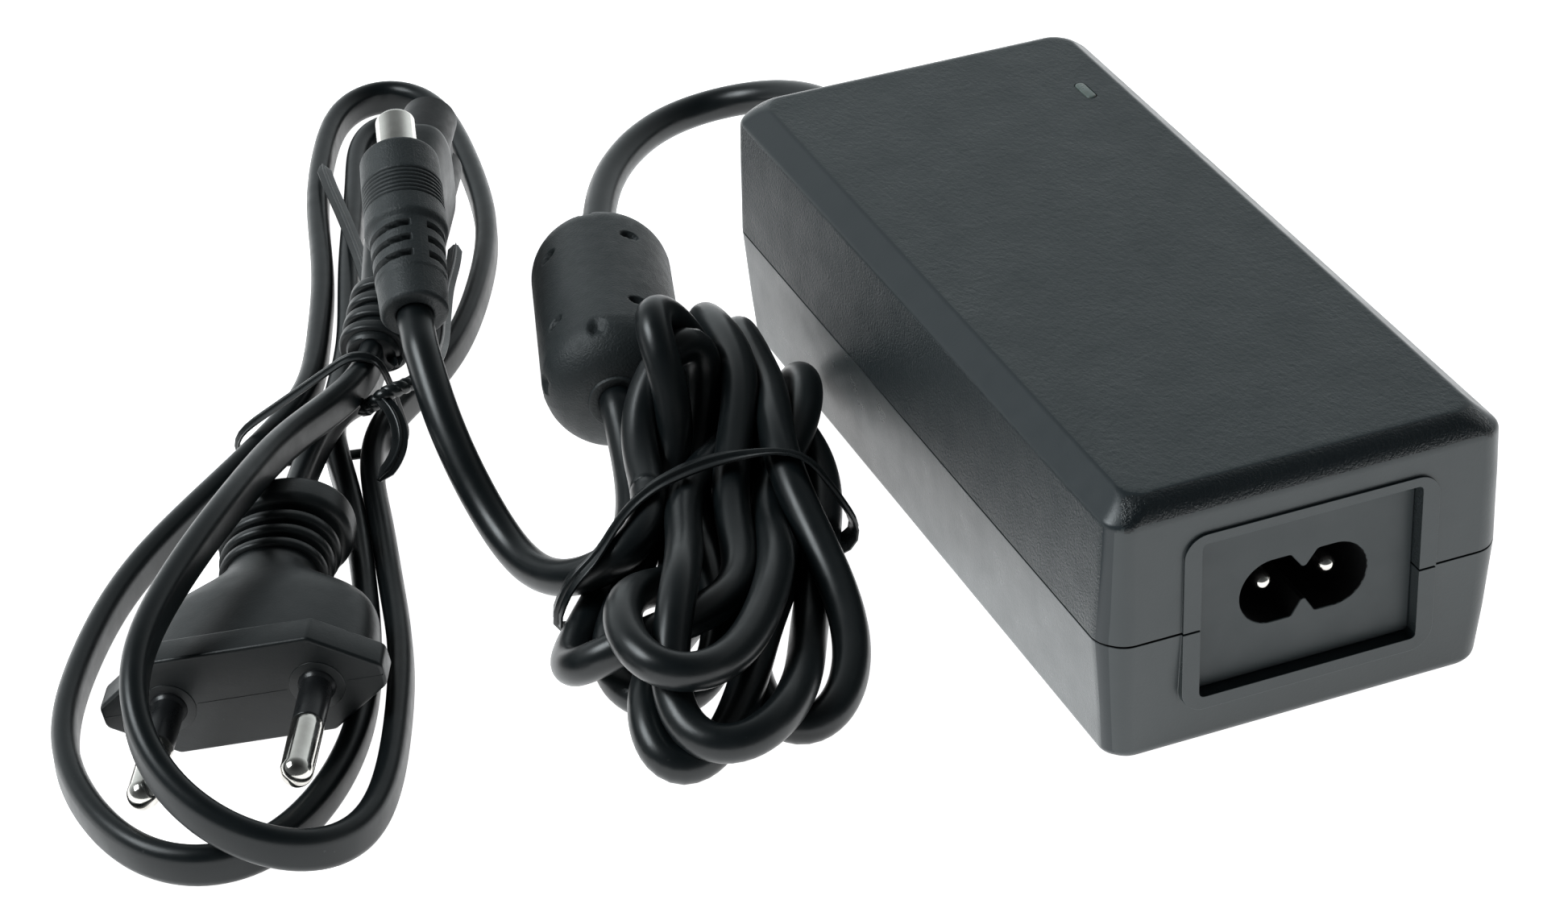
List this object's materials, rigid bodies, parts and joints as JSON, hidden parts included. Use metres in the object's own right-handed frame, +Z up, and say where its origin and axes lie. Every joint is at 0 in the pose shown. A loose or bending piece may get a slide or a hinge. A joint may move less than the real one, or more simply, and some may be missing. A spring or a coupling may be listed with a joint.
{
  "type": "laptop power adapter",
  "caption": "Mains power brick with a figure-eight inlet, indicator window, captive low-voltage lead with ferrite and barrel plug, and a detachable flat two-pin mains lead.",
  "frame": {"origin": "centre of the brick's underside", "axes": "+Z up, +Y along the brick from the mains inlet to the low-voltage cord exit, +X to the right seen from the inlet end"},
  "size_m": [0.1679, 0.2063, 0.0376],
  "materials": {
    "case_black": "fine spark texture on moulded polymer",
    "label_grey": "blank polyester label",
    "plastic_black": "smooth moulded",
    "plastic_brown": "phenolic",
    "plastic_white": "smooth moulded",
    "nickel": "nickel plated brass, lightly brushed",
    "brass": "stamped",
    "copper": "enamelled copper",
    "steel": "zinc plated",
    "aluminium": "mill finish",
    "window_green": "translucent grey green light pipe",
    "board_green": "solder mask on glass epoxy",
    "ceramic_blue": "epoxy dipped disc",
    "film_yellow": "boxed film capacitor",
    "capacitor_sleeve": "heat-shrink sleeve",
    "tape_yellow": "polyester tape",
    "ferrite": "sintered ferrite",
    "paper_cream": "insulating paper",
    "wire_red": "insulated hook-up wire",
    "cord_black": "soft glossy cord jacket",
    "moulded_black": "fine textured soft overmould",
    "plug_black": "satin moulded",
    "tie_black": "flat plastic covered wire"
  },
  "bodies": {
    "adapter": {"upper_case": "case_black", "lower_case": "case_black", "rating_label": "label_grey", "inlet_housing": "plastic_black", "inlet_pins": "nickel", "inlet_terminals": "brass", "led_window": "window_green", "indicator_led": "window_green", "main_board": "board_green", "fuse": "plastic_brown", "varistor": "ceramic_blue", "x_capacitor": "film_yellow", "choke_core": "ferrite", "choke_windings": "copper", "bridge_rectifier": "plastic_black", "bulk_capacitor": "capacitor_sleeve", "primary_heatsink": "aluminium", "primary_transistor": "plastic_black", "transformer_core": "ferrite", "transformer_bobbin": "plastic_brown", "transformer_winding": "tape_yellow", "y_capacitor": "ceramic_blue", "optocoupler": "plastic_white", "control_ic": "plastic_black", "secondary_heatsink": "aluminium", "output_diode": "plastic_black", "output_capacitors": "capacitor_sleeve", "output_inductor": "ferrite", "heatsink_screws": "steel", "insulating_sheet": "paper_cream", "shield_plate": "copper", "output_wires": "wire_red", "cord_boot": "cord_black", "output_cord_start": "cord_black"},
    "output_lead": {"output_cord": "cord_black", "ferrite_cover": "moulded_black", "ferrite_core": "ferrite", "output_cord_coil": "cord_black", "cord_tie": "tie_black"},
    "output_plug": {"plug_cord": "cord_black", "barrel_plug_body": "moulded_black", "barrel_plug_sleeve": "nickel", "barrel_plug_insulator": "plastic_black", "barrel_plug_contact": "brass"},
    "mains_lead": {"mains_cord": "cord_black", "mains_tie": "tie_black", "mains_plug_body": "plug_black", "mains_plug_carrier": "plastic_white", "mains_plug_pins": "nickel", "mains_pin_sleeves": "plastic_black", "mains_connector_body": "plug_black", "mains_connector_insert": "plastic_black", "mains_connector_contacts": "brass"}
  },
  "joints": [
    {"name": "output_lead_lift", "type": "hinge", "parent": "adapter", "child": "output_lead", "pos_m": [-0.0123, 0.1056, 0.0105], "axis": [-1, 0, 0], "range_deg": [0, 45]},
    {"name": "plug_lift", "type": "hinge", "parent": "output_lead", "child": "output_plug", "pos_m": [-0.06534, -0.00189, 0.00996], "axis": [0.9707, 0.2402, 0], "range_deg": [0, 50]},
    {"name": "mains_lead_pull", "type": "slide", "parent": "adapter", "child": "mains_lead", "axis": [-1, 0, 0], "range_m": [0, 0.15]}
  ]
}
